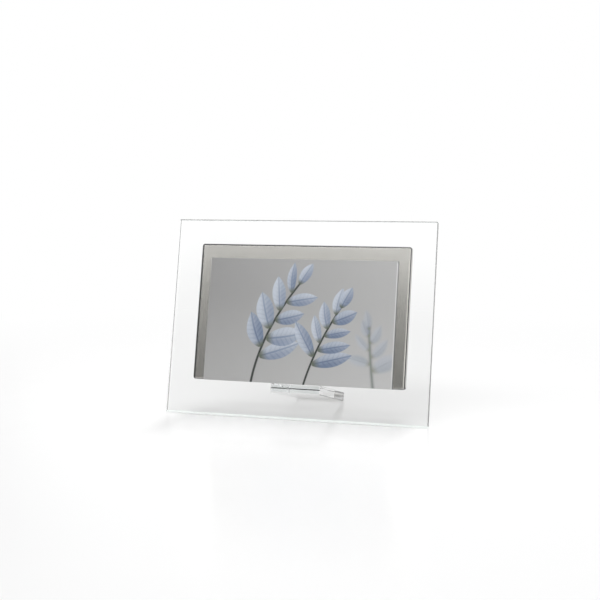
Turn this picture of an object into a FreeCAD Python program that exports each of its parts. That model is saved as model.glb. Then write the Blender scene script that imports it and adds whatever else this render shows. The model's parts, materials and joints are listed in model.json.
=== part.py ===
import FreeCAD, Part
import math
import os
import Sketcher

# Clip frame: a clear glass pane that leans back on a clear block, with a folded steel
# plate and a photograph held behind the glass.
# Every piece is drawn upright, in the pane's own directions: X to the right, Y from the
# pane's front face backwards, Z up the pane from its lower front edge.  One placement
# then leans them all back.  After it, Z = 0 is the table and the origin is the middle
# of the pane's lower edge.

doc = FreeCAD.newDocument("ClipFrame")
sizes = doc.addObject("Spreadsheet::Sheet", "Sizes")

# The sizes that can each be set by themselves, in mm and degrees.
driving = {
    "lean_angle": 12.5,        # the pane, from upright
    "pane_width": 206.0,
    "pane_height": 153.0,
    "pane_thickness": 6.0,
    "pane_arris": 0.4,         # ground and polished edge
    "print_width": 150.0,
    "print_height": 96.0,
    "print_thickness": 0.25,   # photographic paper
    "print_play": 0.15,        # between the glass and the print
    "print_back_play": 0.05,   # between the print and the plate
    "plate_width": 168.0,
    "plate_height": 107.0,
    "plate_sheet": 0.8,        # thickness of the steel
    "plate_return": 6.0,       # depth of the folded edges
    "fold_radius": 1.6,        # outside of the fold
    "corner_extra": 0.4,       # by which a corner is rounder than the fold
    "sill_height": 27.1,       # the block's upper front edge, up the pane
    "bead_thickness": 0.3,     # glue between the plate and the sill, at least
    "bead_inset": 2.0,         # glue bead, in from the block's sides
    "block_width": 39.0,
    "block_thickness": 7.0,
    "block_slope": 14.3,       # below level
    "foot_length": 2.4,        # land ground level at the block's rear
    "block_edge": 0.4,         # polished edge
    "film_thickness": 0.2,     # glue between the block and the glass
    "film_inset": 0.6,         # glue film, in from the block's edges
}

# The sizes that follow from them.
derived = {
    "print_front": "pane_thickness + print_play",
    "plate_front": "print_front + print_thickness + print_back_play",
    "plate_bottom": "sill_height + bead_thickness",
    "corner_radius": "fold_radius + corner_extra",
    "block_front": "pane_thickness + film_thickness",
    "block_tilt": "block_slope - lean_angle",
    "block_face": "block_thickness / cos(block_tilt * 1deg)",
    "pane_rise": "pane_thickness * tan(lean_angle * 1deg)",
    "bead_front": "plate_front + fold_radius",
    "bead_length": "plate_return - fold_radius",
    "bead_width": "block_width - 2 * bead_inset",
    "bead_front_depth": "bead_thickness + (bead_front - block_front) * tan(block_tilt * 1deg)",
    "bead_back_depth": "bead_front_depth + bead_length * tan(block_tilt * 1deg)",
    "film_width": "block_width - 2 * film_inset",
    "film_height": "block_face - 2 * film_inset",
    "film_bottom": "sill_height - block_face + film_inset",
}


def fill_sheet():
    row = 1
    for alias, value in driving.items():
        sizes.set("A%d" % row, alias)
        sizes.set("B%d" % row, str(value))
        sizes.setAlias("B%d" % row, alias)
        row += 1
    for alias, formula in derived.items():
        sizes.set("A%d" % row, alias)
        sizes.set("B%d" % row, "=" + formula)
        sizes.setAlias("B%d" % row, alias)
        row += 1
    doc.recompute()


def size(alias):
    value = sizes.get(alias)
    return getattr(value, "Value", value)


def new_body(node):
    body = doc.addObject("PartDesign::Body", node)
    body.Label = node
    return body


def lean_back(body):
    body.setExpression(
        "Placement",
        "placement(vector(0; -Sizes.pane_thickness / (2 * cos(Sizes.lean_angle * 1deg)); 0);"
        " rotation(vector(1; 0; 0); -Sizes.lean_angle))")


def new_sketch(body, name, role, depth=None):
    """A sketch on one of the body's own origin planes, moved back by the named depth."""
    sketch = body.newObject("Sketcher::SketchObject", name)
    plane = [feature for feature in body.Origin.OriginFeatures if feature.Role == role][0]
    sketch.AttachmentSupport = (plane, "")
    sketch.MapMode = "FlatFace"
    if depth:
        sketch.setExpression("AttachmentOffset.Base.z", "-Sizes." + depth)
    return sketch


def bind(sketch, kind, where, name, expression, start):
    """A named dimension that follows the sheet."""
    index = sketch.addConstraint(Sketcher.Constraint(kind, *where, start))
    sketch.renameConstraint(index, name)
    sketch.setExpression("Constraints." + name, expression)


def outline(sketch, points):
    """A closed run of straight lines through the points, joined end to end."""
    corners = [FreeCAD.Vector(x, y, 0) for x, y in points]
    for start, end in zip(corners, corners[1:] + corners[:1]):
        sketch.addGeometry(Part.LineSegment(start, end), False)
    count = len(corners)
    for line in range(count):
        sketch.addConstraint(Sketcher.Constraint("Coincident", line, 2, (line + 1) % count, 1))


def upright_rectangle(sketch, width, height, bottom):
    """A rectangle centred on the sketch's upright axis, its lower edge at a named height."""
    half = size(width) / 2
    low = size(bottom)
    high = low + size(height)
    outline(sketch, [(-half, low), (half, low), (half, high), (-half, high)])
    for line, way in enumerate(["Vertical", "Horizontal", "Vertical"]):
        sketch.addConstraint(Sketcher.Constraint(way, line + 1))
    sketch.addConstraint(Sketcher.Constraint("Symmetric", 0, 1, 0, 2, -2))
    bind(sketch, "DistanceX", (0, 1, 0, 2), "width", "Sizes." + width, size(width))
    bind(sketch, "DistanceY", (1, 1, 1, 2), "height", "Sizes." + height, size(height))
    bind(sketch, "DistanceY", (-1, 1, 0, 1), "bottom", "Sizes." + bottom, low)


def pad_back(body, sketch, name, depth):
    """A pad from an upright sketch towards the back of the frame."""
    pad = body.newObject("PartDesign::Pad", name)
    pad.Profile = sketch
    pad.Reversed = True
    pad.setExpression("Length", "Sizes." + depth)
    return pad


def pad_across(body, sketch, name, width):
    """A pad from a side profile, to both sides alike."""
    pad = body.newObject("PartDesign::Pad", name)
    pad.Profile = sketch
    pad.SideType = "Symmetric"
    pad.setExpression("Length", width)
    return pad


def edge_names(shape, wanted):
    return ["Edge%d" % (number + 1) for number, edge in enumerate(shape.Edges) if wanted(edge)]


def chamfer(body, base, name, wanted, expression):
    doc.recompute()
    cut = body.newObject("PartDesign::Chamfer", name)
    cut.Base = (base, edge_names(base.Shape, wanted))
    cut.setExpression("Size", expression)
    return cut


def glass_pane():
    """The pane: square edges with a small arris, the lower one ground level with the table."""
    body = new_body("glass_pane")
    profile = new_sketch(body, "PaneProfile", "YZ_Plane")
    thick = size("pane_thickness")
    tall = size("pane_height")
    outline(profile, [(0, 0), (thick, size("pane_rise")), (thick, tall), (0, tall)])
    profile.addConstraint(Sketcher.Constraint("Coincident", 0, 1, -1, 1))
    profile.addConstraint(Sketcher.Constraint("Vertical", 1))
    profile.addConstraint(Sketcher.Constraint("Horizontal", 2))
    profile.addConstraint(Sketcher.Constraint("Vertical", 3))
    bind(profile, "DistanceX", (0, 1, 0, 2), "thickness", "Sizes.pane_thickness", thick)
    bind(profile, "DistanceY", (0, 1, 0, 2), "rise", "Sizes.pane_rise", size("pane_rise"))
    bind(profile, "DistanceY", (0, 1, 2, 2), "height", "Sizes.pane_height", tall)
    pad = pad_across(body, profile, "Pane", "Sizes.pane_width")
    chamfer(body, pad, "Arris", lambda edge: True, "Sizes.pane_arris")
    lean_back(body)
    return body


def photo_print():
    """The photograph: a paper card that stands on the block's sill, behind the glass."""
    body = new_body("photo_print")
    face = new_sketch(body, "PrintFace", "XZ_Plane", "print_front")
    upright_rectangle(face, "print_width", "print_height", "sill_height")
    pad_back(body, face, "Print", "print_thickness")
    lean_back(body)
    return body


def photo_plate():
    """The steel plate: a shallow tray, its four edges folded back round a soft bend."""
    body = new_body("photo_plate")
    face = new_sketch(body, "PlateFace", "XZ_Plane", "plate_front")
    upright_rectangle(face, "plate_width", "plate_height", "plate_bottom")
    blank = pad_back(body, face, "Blank", "plate_return")
    doc.recompute()

    front = size("plate_front")
    middle = front + size("plate_return") / 2
    corners = body.newObject("PartDesign::Fillet", "Corners")
    corners.Base = (blank, edge_names(
        blank.Shape, lambda edge: edge.BoundBox.YMin < middle < edge.BoundBox.YMax))
    corners.setExpression("Radius", "Sizes.corner_radius")
    doc.recompute()

    fold = body.newObject("PartDesign::Fillet", "Fold")
    fold.Base = (corners, edge_names(corners.Shape, lambda edge: edge.BoundBox.YMax < middle))
    fold.setExpression("Radius", "Sizes.fold_radius")
    doc.recompute()

    open_side = ["Face%d" % (number + 1) for number, face in enumerate(fold.Shape.Faces)
                 if face.BoundBox.YMin > middle]
    tray = body.newObject("PartDesign::Thickness", "Tray")
    tray.Base = (fold, open_side)
    tray.Reversed = True
    tray.setExpression("Value", "Sizes.plate_sheet")
    lean_back(body)
    return body


def clip_block():
    """The clear block: its front face is mitred to the glass, it carries the print and
    the plate on its upper front edge, and it slopes down to a foot ground level with
    the table."""
    body = new_body("clip_block")
    profile = new_sketch(body, "BlockProfile", "YZ_Plane")
    front = size("block_front")
    sill = size("sill_height")
    low = sill - size("block_face")
    fall = math.tan(math.radians(size("block_tilt")))
    table = math.tan(math.radians(size("lean_angle")))
    toe = (low + front * fall) / (table + fall)
    heel = toe + size("foot_length")
    outline(profile, [(front, sill), (front, low), (toe, toe * table), (heel, heel * table),
                      (heel, sill - (heel - front) * fall)])
    profile.addConstraint(Sketcher.Constraint("Vertical", 0))
    profile.addConstraint(Sketcher.Constraint("PointOnObject", -1, 1, 2))
    profile.addConstraint(Sketcher.Constraint("Parallel", 1, 4))
    profile.addConstraint(Sketcher.Constraint("Perpendicular", 3, 4))
    bind(profile, "DistanceX", (-1, 1, 0, 1), "front", "Sizes.block_front", front)
    bind(profile, "DistanceY", (-1, 1, 0, 1), "sill", "Sizes.sill_height", sill)
    bind(profile, "DistanceY", (0, 2, 0, 1), "face", "Sizes.block_face", size("block_face"))
    bind(profile, "Angle", (1,), "fall", "-Sizes.block_tilt * 1deg", -math.atan(fall))
    bind(profile, "Angle", (2,), "level", "Sizes.lean_angle * 1deg", math.atan(table))
    bind(profile, "Distance", (2,), "foot", "Sizes.foot_length", size("foot_length"))
    pad = pad_across(body, profile, "Bar", "Sizes.block_width")
    behind = front + size("block_edge")
    chamfer(body, pad, "PolishedEdges", lambda edge: edge.BoundBox.YMax > behind, "Sizes.block_edge")
    lean_back(body)
    return body


def glass_bond():
    """The clear glue film that holds the block's front face to the back of the glass."""
    body = new_body("glass_bond")
    face = new_sketch(body, "FilmFace", "XZ_Plane", "pane_thickness")
    upright_rectangle(face, "film_width", "film_height", "film_bottom")
    pad_back(body, face, "Film", "film_thickness")
    lean_back(body)
    return body


def plate_bond():
    """The clear glue bead that fills the wedge between the plate's folded lower edge and
    the block's sloping top."""
    body = new_body("plate_bond")
    profile = new_sketch(body, "BeadProfile", "YZ_Plane")
    front = size("bead_front")
    back = front + size("bead_length")
    top = size("plate_bottom")
    low = size("sill_height")
    outline(profile, [(front, top), (front, low), (back, low), (back, top)])
    profile.addConstraint(Sketcher.Constraint("Vertical", 0))
    profile.addConstraint(Sketcher.Constraint("Vertical", 2))
    profile.addConstraint(Sketcher.Constraint("Horizontal", 3))
    bind(profile, "DistanceX", (-1, 1, 0, 1), "front", "Sizes.bead_front", front)
    bind(profile, "DistanceY", (-1, 1, 0, 1), "top", "Sizes.plate_bottom", top)
    bind(profile, "DistanceX", (0, 2, 1, 2), "length", "Sizes.bead_length", back - front)
    bind(profile, "DistanceY", (0, 2, 0, 1), "front_depth", "Sizes.bead_front_depth",
         size("bead_front_depth"))
    bind(profile, "DistanceY", (2, 1, 2, 2), "back_depth", "Sizes.bead_back_depth",
         size("bead_back_depth"))
    pad_across(body, profile, "Bead", "Sizes.bead_width")
    lean_back(body)
    return body


def check(bodies):
    """Stops at a failed object, or at a piece that isn't one whole solid."""
    for obj in doc.Objects:
        if "Invalid" in obj.State or "Error" in obj.State:
            raise RuntimeError("%s: %s" % (obj.Name, obj.getStatusString()))
    for body in bodies:
        shape = body.Shape
        if shape.isNull() or not shape.isValid() or len(shape.Solids) != 1:
            raise RuntimeError(body.Label + " has no whole solid")


def main():
    fill_sheet()
    bodies = [
        glass_pane(),
        photo_print(),
        photo_plate(),
        clip_block(),
        glass_bond(),
        plate_bond(),
    ]
    doc.recompute()
    check(bodies)
    os.makedirs("parts", exist_ok=True)
    for body in bodies:
        body.Shape.exportStep("parts/%s.step" % body.Label)
        print(body.Label, "%.2f mm3" % body.Shape.Volume)


main()
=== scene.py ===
import json
import math
import random

import bpy
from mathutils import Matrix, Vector


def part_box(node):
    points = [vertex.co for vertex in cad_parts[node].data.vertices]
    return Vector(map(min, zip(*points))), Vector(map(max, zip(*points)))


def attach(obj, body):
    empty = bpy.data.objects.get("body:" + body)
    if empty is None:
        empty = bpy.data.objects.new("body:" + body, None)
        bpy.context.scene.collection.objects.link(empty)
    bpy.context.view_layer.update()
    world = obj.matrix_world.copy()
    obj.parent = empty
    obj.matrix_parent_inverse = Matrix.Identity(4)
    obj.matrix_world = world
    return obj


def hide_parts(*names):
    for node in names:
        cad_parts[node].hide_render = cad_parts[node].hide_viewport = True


bl_info = {
    "name": "Clip Frame Looks",
    "version": (1, 0, 0),
    "blender": (4, 5, 0),
    "location": "View3D > Sidebar > Clip Frame",
    "description": "Finishes for a glass desk frame with a steel plate, a print and a clear block",
    "category": "Object",
}

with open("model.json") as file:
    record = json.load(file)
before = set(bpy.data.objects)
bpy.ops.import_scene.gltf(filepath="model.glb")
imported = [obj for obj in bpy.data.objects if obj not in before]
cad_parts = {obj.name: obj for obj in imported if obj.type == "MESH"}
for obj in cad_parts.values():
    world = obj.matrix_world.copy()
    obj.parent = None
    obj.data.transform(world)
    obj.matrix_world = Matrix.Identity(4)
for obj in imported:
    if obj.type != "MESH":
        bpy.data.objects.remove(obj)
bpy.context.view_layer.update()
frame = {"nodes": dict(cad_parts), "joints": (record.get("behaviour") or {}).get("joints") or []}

MM = 0.001
WHITE = (1.0, 1.0, 1.0, 1.0)
UP_PANE = Vector(frame["joints"][0]["axis"])
LEAN = math.atan2(UP_PANE.y, UP_PANE.z)
BACK = Vector((0.0, math.cos(LEAN), -math.sin(LEAN)))

# The camera that the photograph was taken with, from the corners of pane, plate and print.
CAMERA_PLACE_MM = (232.3, -762.3, 175.5)
CAMERA_TURN_DEG = 16.56
CAMERA_DIP_DEG = 6.07
CAMERA_LENS_MM = 64.34
CAMERA_SENSOR_MM = 36.0

# The matt edges, in mm above the table: full up to the first height, gone at the second.
PANE_EDGE_MM = (0.4, 0.44)
# The block's ground face is painted dark: painted shade where it meets the table.
BLOCK_SHADED_LAND_MM = (0.02, 0.06)
# Share of the light entering a clear piece that is turned away, at the lowest angles.
ENTRY_LOSS = 0.15
# The painted dark reflection on the plate's bend starts and is full at these shares of its
# width.  It is drawn wider on the left than on the right.
REFLECTION_RIM_RIGHT = (0.5, 0.4)
REFLECTION_RIM_LEFT = (1.45, 1.3)
REFLECTION_RIM_TOP = (1.0, 0.9)
# The print's right edge: a painted highlight and a painted shadow start and are full this far in,
# in mm.
EDGE_HIGHLIGHT_MM = (1.5, 1.3)
EDGE_SHADOW_MM = (0.75, 0.55)
GLUE_INSET_MM = 0.01

FLOOR_HALF_M = 4.0
FLOOR_DROP_MM = 0.05
# Light that the floor adds to what the camera sees, as a share of white.
FLOOR_LIFT = 0.05
# Distance from the frame at which the floor starts to run into the backdrop, and ends, in m.
FLOOR_FADE_M = (0.05, 0.75)
# The wiped part of the floor, in m: half its width with its soft sides, its reach forwards,
# and its end at the pane's foot.
WIPED_SIDES_M = (0.08, 0.106)
WIPED_REACH_M = (-0.1, 0.0)
WIPED_END_M = (-0.001, 0.003)
# How many times the gloss of a plain sheet the wiped part has.
WIPED_GLOSS = 1.9

# Each lamp: name, size in m, power in W, place in m, turn in degrees.
LAMPS = (
    ("overhead_softbox", (0.6, 0.5), 7.6, (0.0, 0.12, 1.2), (-5, 0, 0)),
    ("front_softbox", (2.2, 0.6), 9.8, (-0.75, -1.45, 1.45), (48, 0, -27)),
)


def linear(hex_colour):
    """An sRGB hex colour as the linear RGBA that shaders take."""
    channels = [int(hex_colour[i:i + 2], 16) / 255 for i in (1, 3, 5)]
    rgb = [c / 12.92 if c <= 0.04045 else ((c + 0.055) / 1.055) ** 2.4 for c in channels]
    return (*rgb, 1.0)


def add_node(tree, kind, settings=None, links=None):
    """Adds a node: settings are attributes or input values, links are inputs fed by sockets."""
    node = tree.nodes.new(kind)
    for key, value in (settings or {}).items():
        if isinstance(key, int) or key in node.inputs:
            node.inputs[key].default_value = value
        else:
            setattr(node, key, value)
    for key, socket in (links or {}).items():
        tree.links.new(socket, node.inputs[key])
    return node


def new_material(name):
    """An empty node material and its output node."""
    material = bpy.data.materials.new(name)
    material.use_nodes = True
    tree = material.node_tree
    tree.nodes.clear()
    return material, tree, add_node(tree, "ShaderNodeOutputMaterial")


def ramp(tree, value, low, high, bottom=0.0, top=1.0):
    """A soft step from bottom to top while the value goes from low to high."""
    return add_node(tree, "ShaderNodeMapRange", {
        "interpolation_type": "SMOOTHSTEP", "From Min": low, "From Max": high,
        "To Min": bottom, "To Max": top}, {0: value}).outputs[0]


def combine(tree, operation, *values):
    """A maths node's result: each value is a socket or a number."""
    node = add_node(tree, "ShaderNodeMath", {"operation": operation})
    for index, value in enumerate(values):
        if isinstance(value, bpy.types.NodeSocket):
            tree.links.new(value, node.inputs[index])
        else:
            node.inputs[index].default_value = value
    return node.outputs[0]


def mix_colour(tree, factor, below, above):
    """Lays one colour over another: each is a socket or a linear colour."""
    mix = add_node(tree, "ShaderNodeMix", {"data_type": "RGBA"})
    tree.links.new(factor, mix.inputs[0])
    for index, colour in ((6, below), (7, above)):
        if isinstance(colour, bpy.types.NodeSocket):
            tree.links.new(colour, mix.inputs[index])
        else:
            mix.inputs[index].default_value = colour
    return mix.outputs[2]


def pane_coordinates(tree):
    """Object coordinates in mm, turned so that X is across, Y up the pane and Z out of it."""
    place = add_node(tree, "ShaderNodeTexCoord")
    return add_node(tree, "ShaderNodeMapping", {
        "vector_type": "POINT",
        "Rotation": (LEAN - math.pi / 2, 0.0, 0.0),
        "Scale": (1 / MM, 1 / MM, 1 / MM),
    }, {"Vector": place.outputs["Object"]}).outputs["Vector"]


def dress(node, material):
    """Gives a carried-over CAD node its finish."""
    slots = frame["nodes"][node].data.materials
    slots.clear()
    slots.append(material)


def let_light_through(tree, output, surface, ior, tint):
    """Shadow and diffuse rays pass a clear piece straight, so what is behind it is lit.
    A little of the light that enters it at a low angle is turned away."""
    path = add_node(tree, "ShaderNodeLightPath")
    either = combine(tree, "MAXIMUM", path.outputs["Is Shadow Ray"], path.outputs["Is Diffuse Ray"])
    leaving = add_node(tree, "ShaderNodeNewGeometry").outputs["Backfacing"]
    entry = add_node(tree, "ShaderNodeFresnel", {"IOR": ior})
    turned_away = combine(tree, "MULTIPLY", entry.outputs[0],
                          combine(tree, "MULTIPLY_ADD", leaving, -ENTRY_LOSS, ENTRY_LOSS))
    passed = mix_colour(tree, turned_away, tint, (0.0, 0.0, 0.0, 1.0))
    clear = add_node(tree, "ShaderNodeBsdfTransparent", {}, {"Color": passed})
    mix = add_node(tree, "ShaderNodeMixShader", {}, {
        0: either, 1: surface, 2: clear.outputs[0]})
    tree.links.new(mix.outputs[0], output.inputs["Surface"])


class GlassSettings(bpy.types.PropertyGroup):
    tint: bpy.props.FloatVectorProperty(
        name="Tint", description="Colour that the glass takes on through its width",
        subtype="COLOR", default=linear("#BFDDD0")[:3])
    density: bpy.props.FloatProperty(
        name="Density", description="How fast the tint builds up, per metre", default=3.0)
    ior: bpy.props.FloatProperty(
        name="IOR", description="Index of refraction of float glass", default=1.52)
    ground_edge: bpy.props.FloatVectorProperty(
        name="Ground edge", description="Colour of the matt edge that the pane stands on",
        subtype="COLOR", default=linear("#F2F5F4")[:3])


class PrintSettings(bpy.types.PropertyGroup):
    # The two greys hold the print's own ground and a painted reflection of the glass front, lighter
    # towards the bottom.
    ground_dark: bpy.props.FloatVectorProperty(
        name="Dark ground", description="Grey of the picture's upper left",
        subtype="COLOR", default=linear("#888787")[:3])
    ground_light: bpy.props.FloatVectorProperty(
        name="Light ground", description="Grey of the picture's lower right",
        subtype="COLOR", default=linear("#BDBCBC")[:3])


class PlateSettings(bpy.types.PropertyGroup):
    steel: bpy.props.FloatVectorProperty(
        name="Steel", description="Colour of the brushed stainless steel",
        subtype="COLOR", default=linear("#BAB8B3")[:3])
    # Painted dark reflection: this colour on the bend stands for the dark room that it mirrors.
    dark_reflection_rim: bpy.props.FloatVectorProperty(
        name="Rim", description="Colour of the bend and the folded edges",
        subtype="COLOR", default=linear("#2A2A29")[:3])
    # Painted shade: the lower bend, which faces the table, is drawn in this darker steel.
    painted_shade_underside: bpy.props.FloatVectorProperty(
        name="Underside", description="Colour of the lower bend, which faces the table",
        subtype="COLOR", default=linear("#70706E")[:3])
    dark_reflection_rim_mm: bpy.props.FloatProperty(
        name="Rim width", description="Width of the dark bend in mm", default=1.5)
    line_mm: bpy.props.FloatProperty(
        name="Brush line", description="Distance between brushed lines in mm", default=0.22)


class BlockSettings(bpy.types.PropertyGroup):
    ior: bpy.props.FloatProperty(
        name="IOR", description="Index of refraction of clear acrylic", default=1.49)
    # Painted shade: this dark grey on the block's ground face stands for the shade where it meets
    # the table.
    land_painted_shade: bpy.props.FloatVectorProperty(
        name="Land", description="Colour of the narrow ground face that it stands on",
        subtype="COLOR", default=linear("#4A4A4A")[:3])


def float_glass(settings):
    """Float glass: drawn flat and clear, with polished edges that gather the green of the
    whole width.  The edge that it stands on is ground level and left matt."""
    material, tree, output = new_material("float_glass")
    place = add_node(tree, "ShaderNodeTexCoord")
    # The draw of the glass leaves very long, very shallow waves.
    waves = add_node(tree, "ShaderNodeTexNoise", {"Scale": 1 / (60 * MM), "Detail": 1.0}, {
        "Vector": place.outputs["Object"]})
    bump = add_node(tree, "ShaderNodeBump", {"Strength": 0.02, "Distance": 0.02 * MM}, {
        "Height": waves.outputs[0]})
    glass = add_node(tree, "ShaderNodeBsdfPrincipled", {
        "Base Color": WHITE, "Roughness": 0.0, "IOR": settings.ior,
        "Transmission Weight": 1.0}, {"Normal": bump.outputs[0]})
    height = add_node(tree, "ShaderNodeSeparateXYZ", {}, {0: place.outputs["Object"]}).outputs["Z"]
    matt = add_node(tree, "ShaderNodeBsdfPrincipled", {
        "Base Color": (*settings.ground_edge, 1.0), "Roughness": 0.8, "IOR": settings.ior})
    both = add_node(tree, "ShaderNodeMixShader", {}, {
        0: ramp(tree, height, PANE_EDGE_MM[0] * MM, PANE_EDGE_MM[1] * MM, 1.0, 0.0),
        1: glass.outputs[0], 2: matt.outputs[0]})
    absorb = add_node(tree, "ShaderNodeVolumeAbsorption", {
        "Color": (*settings.tint, 1.0), "Density": settings.density})
    tree.links.new(absorb.outputs[0], output.inputs["Volume"])
    let_light_through(tree, output, both.outputs[0], settings.ior, linear("#FCFCFC"))
    return material


def clear_acrylic(settings):
    """Cast acrylic bar, sawn and polished: water clear, with no tint in its edges.  Only the narrow
    face that it stands on is left as ground, and is painted dark as the shade where it meets the
    table."""
    material, tree, output = new_material("clear_acrylic")
    place = add_node(tree, "ShaderNodeTexCoord")
    # Polishing leaves the faces a little round, with ripples a few millimetres long.
    ripples = add_node(tree, "ShaderNodeTexNoise", {"Scale": 1 / (6 * MM), "Detail": 1.0}, {
        "Vector": place.outputs["Object"]})
    bump = add_node(tree, "ShaderNodeBump", {"Strength": 0.05, "Distance": 0.02 * MM}, {
        "Height": ripples.outputs[0]})
    acrylic = add_node(tree, "ShaderNodeBsdfPrincipled", {
        "Base Color": WHITE, "Roughness": 0.0, "IOR": settings.ior,
        "Transmission Weight": 1.0}, {"Normal": bump.outputs[0]})
    height = add_node(tree, "ShaderNodeSeparateXYZ", {}, {0: place.outputs["Object"]}).outputs["Z"]
    # Painted shade on the narrow ground face that the block stands on.
    land_painted_shade = ramp(tree, height, BLOCK_SHADED_LAND_MM[0] * MM, BLOCK_SHADED_LAND_MM[1] * MM, 1.0, 0.0)
    ground = add_node(tree, "ShaderNodeBsdfPrincipled", {
        "Base Color": (*settings.land_painted_shade, 1.0), "Roughness": 0.7, "IOR": settings.ior})
    both = add_node(tree, "ShaderNodeMixShader", {}, {
        0: land_painted_shade, 1: acrylic.outputs[0], 2: ground.outputs[0]})
    let_light_through(tree, output, both.outputs[0], settings.ior, linear("#FCFCFC"))
    return material


def cured_glue():
    """Clear glue: it fills the joint and only dulls it a trace."""
    material, tree, output = new_material("cured_glue")
    place = add_node(tree, "ShaderNodeTexCoord")
    cloud = add_node(tree, "ShaderNodeTexNoise", {"Scale": 1 / (4 * MM)}, {
        "Vector": place.outputs["Object"]})
    shade = add_node(tree, "ShaderNodeValToRGB", {}, {0: cloud.outputs[0]})
    shade.color_ramp.elements[0].color = linear("#F0F2F2")
    shade.color_ramp.elements[1].color = linear("#FBFCFC")
    clear = add_node(tree, "ShaderNodeBsdfTransparent", {}, {"Color": shade.outputs[0]})
    tree.links.new(clear.outputs[0], output.inputs["Surface"])
    return material


def brushed_stainless(settings):
    """Stainless sheet, brushed along its length: fine lines across the plate, which draw
    each reflection out up and down."""
    material, tree, output = new_material("brushed_stainless")
    place = pane_coordinates(tree)
    line = 1 / settings.line_mm
    stretch = add_node(tree, "ShaderNodeMapping", {"Scale": (line / 60, line, line)}, {
        "Vector": place})
    brush = add_node(tree, "ShaderNodeTexNoise", {"Scale": 1.0, "Detail": 3.0, "Roughness": 0.6}, {
        "Vector": stretch.outputs[0]})
    bump = add_node(tree, "ShaderNodeBump", {"Strength": 0.12, "Distance": 0.02 * MM}, {
        "Height": brush.outputs[0]})
    rough = add_node(tree, "ShaderNodeMapRange", {
        "From Min": 0.3, "From Max": 0.7, "To Min": 0.19, "To Max": 0.24}, {0: brush.outputs[0]})
    darker = (*[channel * 0.93 for channel in settings.steel], 1.0)
    tone = mix_colour(tree, brush.outputs[0], darker, (*settings.steel, 1.0))
    # The bend on the sides and the top carries a painted dark reflection of the dark room that it
    # mirrors; the brushing stops short of it, and the flat outside of the folded edges has none.
    corners = [vert.co / MM for vert in frame["nodes"]["photo_plate"].data.vertices]
    half_width = max(corner.x for corner in corners)
    heights = [corner.dot(UP_PANE) for corner in corners]
    top, bottom = max(heights), min(heights)
    parts = add_node(tree, "ShaderNodeSeparateXYZ", {}, {0: place})
    across, height = parts.outputs["X"], parts.outputs["Y"]
    right = ramp(tree, across, *[half_width - share * settings.dark_reflection_rim_mm for share in REFLECTION_RIM_RIGHT])
    left = ramp(tree, across, *[share * settings.dark_reflection_rim_mm - half_width for share in REFLECTION_RIM_LEFT])
    inside = ramp(tree, combine(tree, "ABSOLUTE", across, 0.0),
                  half_width - 0.06, half_width - 0.02, 1.0, 0.0)
    bend = combine(tree, "MULTIPLY", combine(tree, "MAXIMUM", right, left), inside)
    # Painted dark reflection along the bend on the sides and the top.
    dark_reflection_rim = combine(tree, "MAXIMUM", bend,
                  ramp(tree, height, *[top - share * settings.dark_reflection_rim_mm for share in REFLECTION_RIM_TOP]))
    # Painted shade on the lower bend, which faces the table.
    painted_shade_under = ramp(tree, height, bottom, bottom + 1.2, 1.0, 0.0)
    shaded = mix_colour(tree, painted_shade_under, tone, (*settings.painted_shade_underside, 1.0))
    shown = mix_colour(tree, dark_reflection_rim, shaded, (*settings.dark_reflection_rim, 1.0))
    steel = add_node(tree, "ShaderNodeBsdfPrincipled", {}, {
        "Metallic": combine(tree, "SUBTRACT", 1.0, dark_reflection_rim), "Base Color": shown,
        "Roughness": rough.outputs[0], "Normal": bump.outputs[0]})
    tree.links.new(steel.outputs[0], output.inputs["Surface"])
    return material


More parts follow.
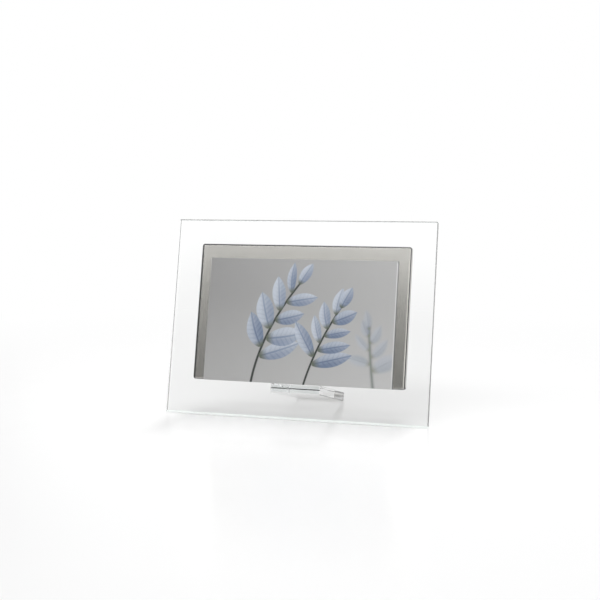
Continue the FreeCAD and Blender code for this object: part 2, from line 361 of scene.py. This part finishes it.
def leaf_group():
    """A node group that draws one veined leaf: where it is, and how light each spot is."""
    group = bpy.data.node_groups.new("printed_leaf", "ShaderNodeTree")
    face = group.interface
    for name, kind in (("Place", "NodeSocketVector"), ("Foot", "NodeSocketVector"),
                       ("Angle", "NodeSocketFloat"), ("Length", "NodeSocketFloat"),
                       ("Half width", "NodeSocketFloat"), ("Curl", "NodeSocketFloat"),
                       ("Blur", "NodeSocketFloat")):
        face.new_socket(name, in_out="INPUT", socket_type=kind)
    for name in ("Mask", "Light", "Along"):
        face.new_socket(name, in_out="OUTPUT", socket_type="NodeSocketFloat")
    given = add_node(group, "NodeGroupInput")
    from_foot = add_node(group, "ShaderNodeVectorMath", {"operation": "SUBTRACT"}, {
        0: given.outputs["Place"], 1: given.outputs["Foot"]})
    backwards = combine(group, "MULTIPLY", given.outputs["Angle"], -1.0)
    turned = add_node(group, "ShaderNodeVectorRotate", {"rotation_type": "Z_AXIS"}, {
        "Vector": from_foot.outputs[0], "Angle": backwards})
    parts = add_node(group, "ShaderNodeSeparateXYZ", {}, {0: turned.outputs[0]})
    # 0 at the leaf's foot and 1 at its tip; the midrib bends to one side by the curl.
    along = combine(group, "DIVIDE", parts.outputs["X"], given.outputs["Length"])
    squared = combine(group, "MULTIPLY", along, along)
    midrib = combine(group, "MULTIPLY", squared, given.outputs["Curl"])
    across = combine(group, "SUBTRACT", parts.outputs["Y"], midrib)
    # Widest before the middle, with a long point: the root of the share, less its cube.
    inside = combine(group, "MAXIMUM", along, 0.0)
    swell = combine(group, "POWER", inside, 0.6)
    cube = combine(group, "MULTIPLY", squared, inside)
    outline = combine(group, "MULTIPLY", combine(group, "SUBTRACT", swell, cube), 1.75)
    half = combine(group, "MULTIPLY", outline, given.outputs["Half width"])
    side = combine(group, "ABSOLUTE", across, 0.0)
    soft = combine(group, "DIVIDE", combine(group, "SUBTRACT", half, side), given.outputs["Blur"])
    mask = combine(group, "MULTIPLY", ramp(group, soft, -1.0, 1.0), ramp(group, along, 0.0, 0.05))
    # Side veins run forward from the midrib, and the midrib itself is a thin dark line.
    share = combine(group, "DIVIDE", side, given.outputs["Half width"])
    phase = combine(group, "SUBTRACT", combine(group, "MULTIPLY", along, 52.0),
                    combine(group, "MULTIPLY", share, 7.0))
    veins = ramp(group, combine(group, "SINE", phase, 0.0), 0.2, 1.0, 0.0, 0.13)
    rib = ramp(group, share, 0.03, 0.14, 0.4, 0.0)
    lean = combine(group, "DIVIDE", across, given.outputs["Half width"])
    # One half of the blade faces the light, and the light shines through the tip.
    lit = ramp(group, lean, -0.6, 0.7, 0.12, 0.72)
    thin = ramp(group, along, 0.25, 1.0, 0.0, 0.28)
    light = combine(group, "SUBTRACT", combine(group, "ADD", lit, thin),
                    combine(group, "MAXIMUM", veins, rib))
    result = add_node(group, "NodeGroupOutput")
    for name, socket in (("Mask", mask), ("Light", light), ("Along", along)):
        group.links.new(socket, result.inputs[name])
    return group


def stem_group():
    """A node group that draws one thin stem: X follows a bend of the height up the print."""
    group = bpy.data.node_groups.new("printed_stem", "ShaderNodeTree")
    face = group.interface
    for name, kind in (("Place", "NodeSocketVector"), ("Foot", "NodeSocketFloat"),
                       ("Slope", "NodeSocketFloat"), ("Bend", "NodeSocketFloat"),
                       ("Top", "NodeSocketFloat"), ("Half width", "NodeSocketFloat"),
                       ("Blur", "NodeSocketFloat")):
        face.new_socket(name, in_out="INPUT", socket_type=kind)
    face.new_socket("Mask", in_out="OUTPUT", socket_type="NodeSocketFloat")
    given = add_node(group, "NodeGroupInput")
    parts = add_node(group, "ShaderNodeSeparateXYZ", {}, {0: given.outputs["Place"]})
    up = parts.outputs["Y"]
    bent = combine(group, "MULTIPLY_ADD", up, given.outputs["Bend"], given.outputs["Slope"])
    centre = combine(group, "MULTIPLY_ADD", up, bent, given.outputs["Foot"])
    off = combine(group, "SUBTRACT", parts.outputs["X"], centre)
    side = combine(group, "ABSOLUTE", off, 0.0)
    inside = combine(group, "SUBTRACT", given.outputs["Half width"], side)
    below = combine(group, "SUBTRACT", given.outputs["Top"], up)
    soft = combine(group, "DIVIDE", combine(group, "MINIMUM", inside, below),
                   given.outputs["Blur"])
    mask = ramp(group, soft, -1.0, 1.0)
    result = add_node(group, "NodeGroupOutput")
    group.links.new(mask, result.inputs["Mask"])
    return group


def stem_x(foot, slope, bend, up):
    """Where the stem is, across the print, at a height up it."""
    return foot + up * (slope + bend * up)


def sprig(tree, ground, place, leaf, stem, shape, colours):
    """A stem with leaves to both sides that get shorter towards its tip.  Each leaf has its
    own turn, length and curl, and lets a little of what lies behind it through."""
    foot, slope, bend, top, blur, pairs, size, seed = shape
    last = 2 * pairs
    pick = random.Random(seed)
    drawn = add_node(tree, "ShaderNodeGroup", {
        "node_tree": stem, "Foot": foot, "Slope": slope, "Bend": bend, "Top": top,
        "Half width": 0.8 * size, "Blur": blur}, {"Place": place})
    ground = mix_colour(tree, drawn.outputs["Mask"], ground, colours["stem"])
    for step in range(last + 1):
        share = (step + 0.6) / (last + 1)
        up = top * (0.2 + 0.79 * share)
        heading = math.atan2(1.0, slope + 2 * bend * up)
        side = 0.15 if step == last else (-1, 1)[step % 2]
        # Towards the tip the leaves stand closer to the stem and get shorter, 31 to 17 mm.
        angle = heading + side * math.radians(64 - 30 * share + pick.uniform(-9, 9))
        length = size * (31 - 14 * share) * pick.uniform(0.86, 1.1)
        blade = add_node(tree, "ShaderNodeGroup", {
            "node_tree": leaf, "Foot": (stem_x(foot, slope, bend, up), up, 0.0), "Angle": angle,
            "Length": length, "Half width": length * pick.uniform(0.16, 0.27),
            "Curl": side * length * pick.uniform(-0.3, 0.1), "Blur": blur}, {"Place": place})
        shade = combine(tree, "ADD", blade.outputs["Light"], pick.uniform(-0.15, 0.3))
        tone = mix_colour(tree, shade, colours["leaf_dark"], colours["leaf_light"])
        near_stem = ramp(tree, blade.outputs["Along"], 0.04, 0.26, 0.9, 0.0)
        tone = mix_colour(tree, near_stem, tone, colours["green"])
        shown = combine(tree, "MULTIPLY", blade.outputs["Mask"], colours["cover"])
        ground = mix_colour(tree, shown, ground, tone)
    return ground


def photo_paper(settings):
    """Satin photographic paper with a printed picture: pale blue-grey sprigs on grey."""
    material, tree, output = new_material("photo_paper")
    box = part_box("photo_print")
    width = (box[1][0] - box[0][0]) / MM
    foot = Vector((0.0, box[0][1], box[0][2])).dot(UP_PANE) / MM
    tall = (Vector(box[1]) - Vector(box[0])).dot(UP_PANE) / MM
    upright = pane_coordinates(tree)
    place = add_node(tree, "ShaderNodeVectorMath", {"operation": "SUBTRACT", 1: (0.0, foot, 0.0)}, {
        0: upright}).outputs[0]
    # Only X and the height up the print draw the picture.
    flat = add_node(tree, "ShaderNodeVectorMath", {"operation": "MULTIPLY", 1: (1.0, 1.0, 0.0)}, {
        0: place}).outputs[0]
    parts = add_node(tree, "ShaderNodeSeparateXYZ", {}, {0: flat})
    # The ground gets lighter from the upper left to the lower right: partly the print's own grey,
    # partly a painted reflection of the glass front, lighter towards the bottom.
    slant = combine(tree, "MULTIPLY_ADD", parts.outputs["Y"], -width / tall, parts.outputs["X"])
    fade = add_node(tree, "ShaderNodeMapRange", {
        "From Min": -1.5 * width, "From Max": width / 2}, {0: slant})
    ground = mix_colour(tree, fade.outputs[0], (*settings.ground_dark, 1.0),
                        (*settings.ground_light, 1.0))
    leaf = leaf_group()
    stem = stem_group()
    near = {"stem": linear("#17201A"), "leaf_dark": linear("#576B8B"), "cover": 0.9,
            "leaf_light": linear("#BDC4D0"), "green": linear("#434B2A")}
    far = {"stem": linear("#5C665F"), "leaf_dark": linear("#838D9E"), "cover": 0.6,
           "leaf_light": linear("#AEB4BF"), "green": linear("#74795E")}
    # Each sprig: foot, slope and bend of its stem, its height, blur, pairs, size and seed.
    for shape, colours in (
            ((60.0, -0.16, 0.0010, 46.0, 1.8, 3, 0.8, 5), far),
            ((-36.0, 0.14, 0.0040, 80.0, 0.45, 4, 1.15, 3), near),
            ((6.0, 0.26, 0.0030, 62.0, 0.4, 4, 1.0, 8), near)):
        ground = sprig(tree, ground, flat, leaf, stem, shape, colours)
    # A painted highlight runs down the right side, and a painted shadow lies along the edge beyond
    # it.
    right = width / 2
    line = ramp(tree, parts.outputs["X"], *[right - inset for inset in EDGE_HIGHLIGHT_MM])
    white = combine(tree, "MULTIPLY", line,
                    ramp(tree, parts.outputs["Y"], tall - 1.6, tall - 1.2, 1.0, 0.0))
    ground = mix_colour(tree, white, ground, linear("#D2D2D2"))
    # Painted shadow along the print's right edge.
    cut = ramp(tree, parts.outputs["X"], *[right - inset for inset in EDGE_SHADOW_MM])
    ground = mix_colour(tree, cut, ground, linear("#707070"))
    paper = add_node(tree, "ShaderNodeBsdfPrincipled", {
        "Roughness": 0.38, "IOR": 1.5}, {"Base Color": ground})
    # The satin coat has a fine pebble, a few tenths of a millimetre across.
    pebble = add_node(tree, "ShaderNodeTexNoise", {"Scale": 1 / 0.3, "Detail": 1.0}, {
        "Vector": upright})
    bump = add_node(tree, "ShaderNodeBump", {"Strength": 0.08, "Distance": 0.01 * MM}, {
        "Height": pebble.outputs[0]})
    tree.links.new(bump.outputs[0], paper.inputs["Normal"])
    tree.links.new(paper.outputs[0], output.inputs["Surface"])
    return material


def glue_film(node, material):
    """The glue node's own form, drawn in by a hair, so that no two clear faces coincide."""
    mesh = frame["nodes"][node].data.copy()
    mesh.name = node + "_film"
    low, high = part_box(node)
    centre = (Vector(low) + Vector(high)) / 2
    for vert in mesh.vertices:
        off = vert.co - centre
        for axis in (Vector((1.0, 0.0, 0.0)), UP_PANE, BACK):
            vert.co -= axis * math.copysign(GLUE_INSET_MM * MM, off.dot(axis))
    mesh.materials.clear()
    mesh.materials.append(material)
    film = bpy.data.objects.new(node + "_film", mesh)
    bpy.context.scene.collection.objects.link(film)
    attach(film, "stand")
    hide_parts(node)


class CLIPFRAME_OT_glass(bpy.types.Operator):
    """Float glass for the pane"""
    bl_idname = "clipframe.glass"
    bl_label = "Glass pane"

    def execute(self, context):
        dress("glass_pane", float_glass(context.scene.clipframe_glass))
        return {"FINISHED"}


class CLIPFRAME_OT_print(bpy.types.Operator):
    """Satin paper with the printed sprigs"""
    bl_idname = "clipframe.print"
    bl_label = "Print"

    def execute(self, context):
        dress("photo_print", photo_paper(context.scene.clipframe_print))
        return {"FINISHED"}


class CLIPFRAME_OT_plate(bpy.types.Operator):
    """Brushed stainless steel for the folded plate"""
    bl_idname = "clipframe.plate"
    bl_label = "Plate"

    def execute(self, context):
        dress("photo_plate", brushed_stainless(context.scene.clipframe_plate))
        return {"FINISHED"}


class CLIPFRAME_OT_block(bpy.types.Operator):
    """Clear acrylic for the block, and the clear glue that holds it"""
    bl_idname = "clipframe.block"
    bl_label = "Block and glue"

    def execute(self, context):
        dress("clip_block", clear_acrylic(context.scene.clipframe_block))
        glue = cured_glue()
        for node in ("glass_bond", "plate_bond"):
            glue_film(node, glue)
        return {"FINISHED"}


class CLIPFRAME_OT_stage(bpy.types.Operator):
    """White floor, soft light and the photograph's camera"""
    bl_idname = "clipframe.stage"
    bl_label = "Stage"

    def execute(self, context):
        add_floor()
        add_world()
        add_lights()
        add_camera()
        context.scene.view_settings.view_transform = "Standard"
        return {"FINISHED"}


def add_floor():
    """The table: it lies a hair below the ground edges, so no two faces coincide."""
    half, low = FLOOR_HALF_M, -FLOOR_DROP_MM * MM
    mesh = bpy.data.meshes.new("floor")
    mesh.from_pydata([(-half, -half, low), (half, -half, low), (half, half, low),
                      (-half, half, low)], [], [(0, 1, 2, 3)])
    floor = bpy.data.objects.new("floor", mesh)
    bpy.context.scene.collection.objects.link(floor)
    # Opal acrylic sheet: white through and through, with a gloss that mirrors at a low angle.
    material, tree, output = new_material("opal_sheet")
    path = add_node(tree, "ShaderNodeLightPath")
    place = add_node(tree, "ShaderNodeTexCoord")
    away = add_node(tree, "ShaderNodeVectorMath", {"operation": "LENGTH"}, {
        0: place.outputs["Object"]})
    # Far off, the sheet runs up into the white backdrop.
    far = ramp(tree, away.outputs["Value"], *FLOOR_FADE_M)
    lift = combine(tree, "MULTIPLY", path.outputs["Is Camera Ray"], FLOOR_LIFT)
    grain = add_node(tree, "ShaderNodeTexNoise", {"Scale": 1 / (40 * MM)}, {
        "Vector": place.outputs["Object"]})
    rough = add_node(tree, "ShaderNodeMapRange", {"To Min": 0.2, "To Max": 0.24}, {
        0: grain.outputs[0]})
    matt = add_node(tree, "ShaderNodeBsdfPrincipled", {
        "Base Color": linear("#F2F2F2"), "IOR": 1.45, "Specular IOR Level": 0.35,
        "Emission Color": WHITE}, {
        "Emission Strength": lift, "Roughness": rough.outputs[0]})
    # In front of the pane the sheet is wiped clean and mirrors, less and less outwards.
    parts = add_node(tree, "ShaderNodeSeparateXYZ", {}, {0: place.outputs["Object"]})
    off_middle = combine(tree, "ABSOLUTE", parts.outputs["X"], 0.0)
    strip = ramp(tree, off_middle, *WIPED_SIDES_M, WIPED_GLOSS, 0.0)
    grazing = add_node(tree, "ShaderNodeFresnel", {"IOR": 1.45})
    shine = combine(tree, "MULTIPLY", grazing.outputs[0], strip)
    wiped = combine(tree, "MULTIPLY", shine,
                    combine(tree, "MULTIPLY", ramp(tree, parts.outputs["Y"], *WIPED_REACH_M),
                            ramp(tree, parts.outputs["Y"], *WIPED_END_M, 1.0, 0.0)))
    polish = add_node(tree, "ShaderNodeBsdfGlossy", {"Color": linear("#C6C6C6"), "Roughness": 0.04})
    sheet = add_node(tree, "ShaderNodeMixShader", {}, {
        0: wiped, 1: matt.outputs[0], 2: polish.outputs[0]})
    backdrop = add_node(tree, "ShaderNodeEmission", {"Color": WHITE})
    both = add_node(tree, "ShaderNodeMixShader", {}, {
        0: far, 1: sheet.outputs[0], 2: backdrop.outputs[0]})
    tree.links.new(both.outputs[0], output.inputs["Surface"])
    mesh.materials.append(material)


def add_world():
    """A studio for glass: a white backdrop behind, a wall of soft light in front with the
    dim room low in its middle, grey sides, and a dark ceiling, which draws a dark line
    along each bent or cut edge.  The numbers are parts of a direction of length 1."""
    world = bpy.data.worlds.new("studio")
    bpy.context.scene.world = world
    world.use_nodes = True
    tree = world.node_tree
    tree.nodes.clear()
    output = add_node(tree, "ShaderNodeOutputWorld")
    place = add_node(tree, "ShaderNodeTexCoord")
    parts = add_node(tree, "ShaderNodeSeparateXYZ", {}, {0: place.outputs["Generated"]})
    right, back, up = parts.outputs
    # White backdrop: behind, up to about 30 degrees.
    behind = combine(tree, "MULTIPLY", ramp(tree, back, 0.75, 0.86),
                     ramp(tree, up, 0.5, 0.58, 1.0, 0.0))
    # Soft light in front, from low at both sides of the room to high over its middle.
    aside = combine(tree, "ABSOLUTE", combine(tree, "ADD", right, 0.2), 0.0)
    rise = combine(tree, "MAXIMUM", combine(tree, "SUBTRACT", aside, 0.16), 0.0)
    outwards = combine(tree, "ADD", combine(tree, "MULTIPLY", rise, 0.7), up)
    wall = combine(tree, "MULTIPLY", ramp(tree, outwards, 0.295, 0.39, 0.18, 1.5),
                   combine(tree, "MULTIPLY", ramp(tree, back, -0.5, -0.25, 1.0, 0.0),
                           ramp(tree, up, 0.68, 0.8, 1.0, 0.0)))
    # A low white band runs round the back and both sides, as the floor's far end.
    low_band = combine(tree, "MULTIPLY", ramp(tree, back, -0.6, -0.3, 0.0, 1.0),
                       ramp(tree, up, 0.06, 0.13, 1.0, 0.0))
    sides = ramp(tree, combine(tree, "ABSOLUTE", right, 0.0), 0.5, 0.75, 0.15, 0.6)
    light = combine(tree, "MAXIMUM", combine(tree, "MAXIMUM", behind, low_band),
                    combine(tree, "MAXIMUM", wall, sides))
    path = add_node(tree, "ShaderNodeLightPath")
    strength = combine(tree, "MAXIMUM", light, path.outputs["Is Camera Ray"])
    sky = add_node(tree, "ShaderNodeBackground", {"Color": WHITE}, {"Strength": strength})
    tree.links.new(sky.outputs[0], output.inputs["Surface"])


def add_lights():
    """The softboxes, as LAMPS lists them."""
    for name, size, power, place, turn in LAMPS:
        lamp = bpy.data.lights.new(name, "AREA")
        lamp.shape = "RECTANGLE"
        lamp.size, lamp.size_y = size
        lamp.energy = power
        thing = bpy.data.objects.new(name, lamp)
        thing.location = place
        thing.rotation_euler = [math.radians(angle) for angle in turn]
        bpy.context.scene.collection.objects.link(thing)


def add_camera():
    """The photograph's camera."""
    data = bpy.data.cameras.new("photo_camera")
    data.lens = CAMERA_LENS_MM
    data.sensor_width = CAMERA_SENSOR_MM
    camera = bpy.data.objects.new("photo_camera", data)
    camera.location = Vector(CAMERA_PLACE_MM) * MM
    camera.rotation_euler = (
        math.radians(90 - CAMERA_DIP_DEG), 0.0, math.radians(CAMERA_TURN_DEG))
    bpy.context.scene.collection.objects.link(camera)
    bpy.context.scene.camera = camera


class CLIPFRAME_PT_panel(bpy.types.Panel):
    """The frame's pieces and their finishes"""
    bl_idname = "CLIPFRAME_PT_panel"
    bl_label = "Clip Frame"
    bl_space_type = "VIEW_3D"
    bl_region_type = "UI"
    bl_category = "Clip Frame"

    def draw(self, context):
        for operator in STEPS:
            self.layout.operator(operator.bl_idname)
        for name in GROUPS:
            group = getattr(context.scene, name)
            for key in group.__annotations__:
                self.layout.prop(group, key)


GROUPS = {
    "clipframe_glass": GlassSettings,
    "clipframe_print": PrintSettings,
    "clipframe_plate": PlateSettings,
    "clipframe_block": BlockSettings,
}
STEPS = (CLIPFRAME_OT_glass, CLIPFRAME_OT_print, CLIPFRAME_OT_plate, CLIPFRAME_OT_block,
         CLIPFRAME_OT_stage)


def register():
    for kind in (*GROUPS.values(), *STEPS, CLIPFRAME_PT_panel):
        bpy.utils.register_class(kind)
    for name, kind in GROUPS.items():
        setattr(bpy.types.Scene, name, bpy.props.PointerProperty(type=kind))


def unregister():
    for name in GROUPS:
        delattr(bpy.types.Scene, name)
    for kind in reversed((*GROUPS.values(), *STEPS, CLIPFRAME_PT_panel)):
        bpy.utils.unregister_class(kind)


def main():
    register()
    bpy.ops.clipframe.glass()
    bpy.ops.clipframe.print()
    bpy.ops.clipframe.plate()
    bpy.ops.clipframe.block()
    bpy.ops.clipframe.stage()


if __name__ == "__main__":
    main()
